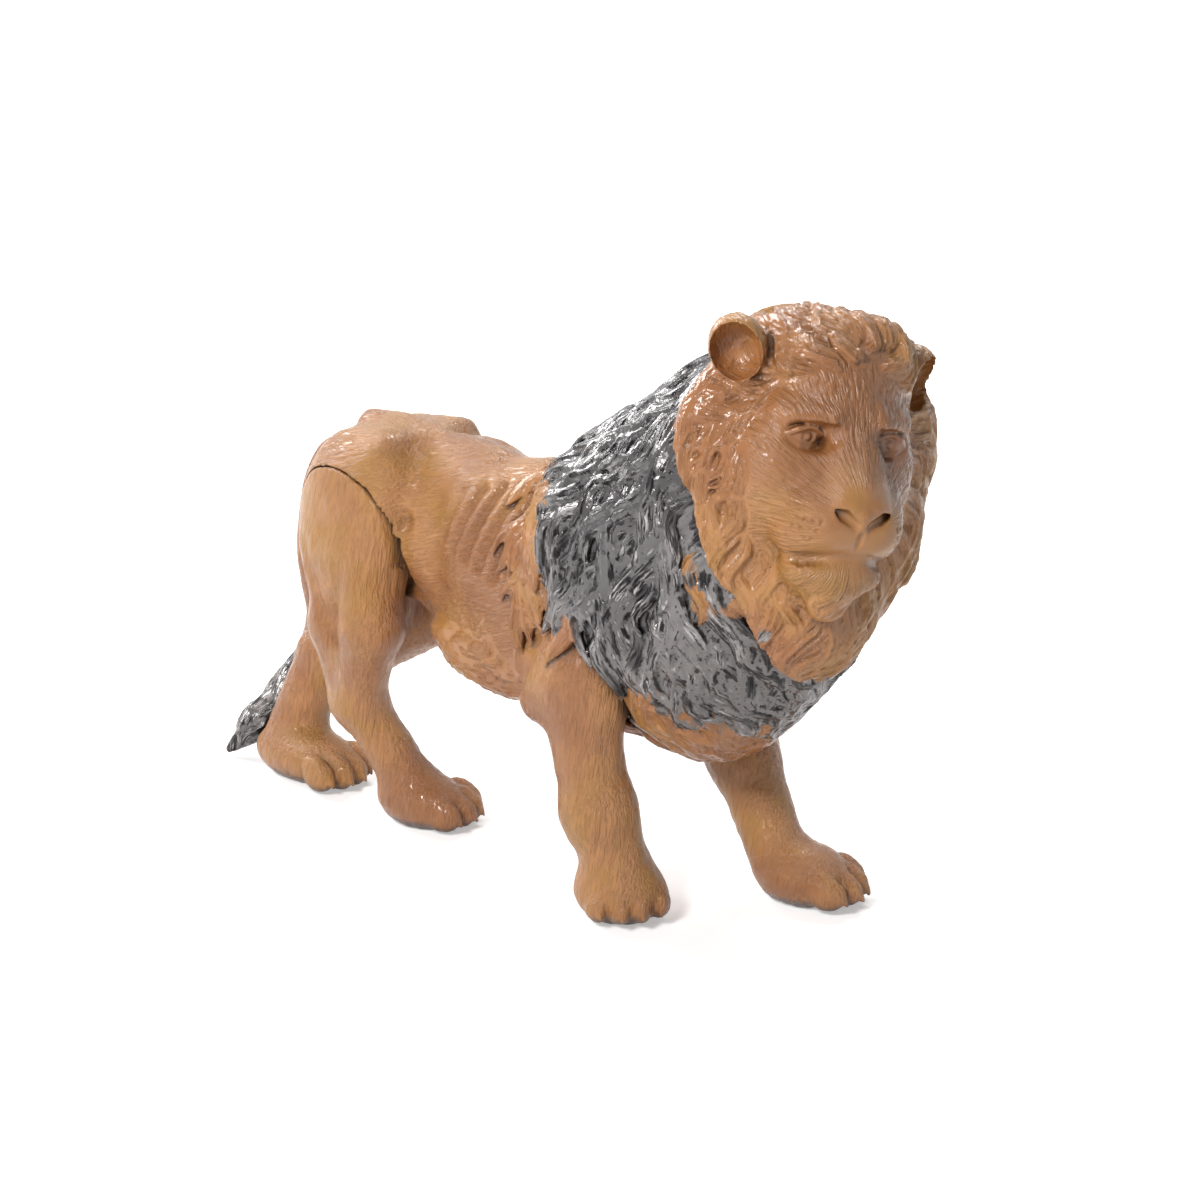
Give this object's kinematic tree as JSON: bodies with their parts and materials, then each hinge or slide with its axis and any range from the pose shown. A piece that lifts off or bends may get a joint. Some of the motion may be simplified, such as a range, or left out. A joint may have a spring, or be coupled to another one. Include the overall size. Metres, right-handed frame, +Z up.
{
  "type": "toy lion figure",
  "caption": "Walking toy lion of hollow soft vinyl with a dark sprayed mane, a head that turns on its neck, swivelling legs and a tufted tail.",
  "frame": {"origin": "on the ground under the middle of the whole figure", "axes": "+X ahead of the lion, +Y to its left, +Z up, in its walking stance"},
  "size_m": [0.3356, 0.1, 0.2268],
  "materials": {
    "tan_vinyl": "soft vinyl moulded in caramel tan, semi-gloss, with a light ochre overspray",
    "sprayed_mane": "the same vinyl sprayed glossy gunmetal grey, tan at the tips of the locks"
  },
  "bodies": {
    "trunk": {"torso_shell": "tan_vinyl", "mane_shell": "sprayed_mane"},
    "head": {"head_shell": "tan_vinyl"},
    "rear_right": {"rear_right_leg": "tan_vinyl"},
    "rear_left": {"rear_left_leg": "tan_vinyl"},
    "front_right": {"front_right_leg": "tan_vinyl"},
    "front_left": {"front_left_leg": "tan_vinyl"},
    "tail": {"tail": "tan_vinyl"}
  },
  "joints": [
    {"name": "head_turn", "type": "hinge", "parent": "trunk", "child": "head", "pos_m": [0.1165, 0, 0.15729], "axis": [0.9272, 0, 0.3746], "range_deg": [-15, 15]},
    {"name": "rear_right_swing", "type": "hinge", "parent": "trunk", "child": "rear_right", "pos_m": [-0.07802, -0.012, 0.112], "axis": [0, -1, 0], "range_deg": [-4, 6]},
    {"name": "rear_left_swing", "type": "hinge", "parent": "trunk", "child": "rear_left", "pos_m": [-0.07802, 0.012, 0.112], "axis": [0, -1, 0], "range_deg": [0, 8]},
    {"name": "front_right_swing", "type": "hinge", "parent": "trunk", "child": "front_right", "pos_m": [0.05348, -0.018, 0.104], "axis": [0, -1, 0], "range_deg": [-6, 6]},
    {"name": "front_left_swing", "type": "hinge", "parent": "trunk", "child": "front_left", "pos_m": [0.05348, 0.018, 0.104], "axis": [0, -1, 0], "range_deg": [-6, 6]},
    {"name": "tail_turn", "type": "hinge", "parent": "trunk", "child": "tail", "pos_m": [-0.09752, 0, 0.132], "axis": [-0.9397, 0, 0.342], "range_deg": [-6, 12]}
  ]
}
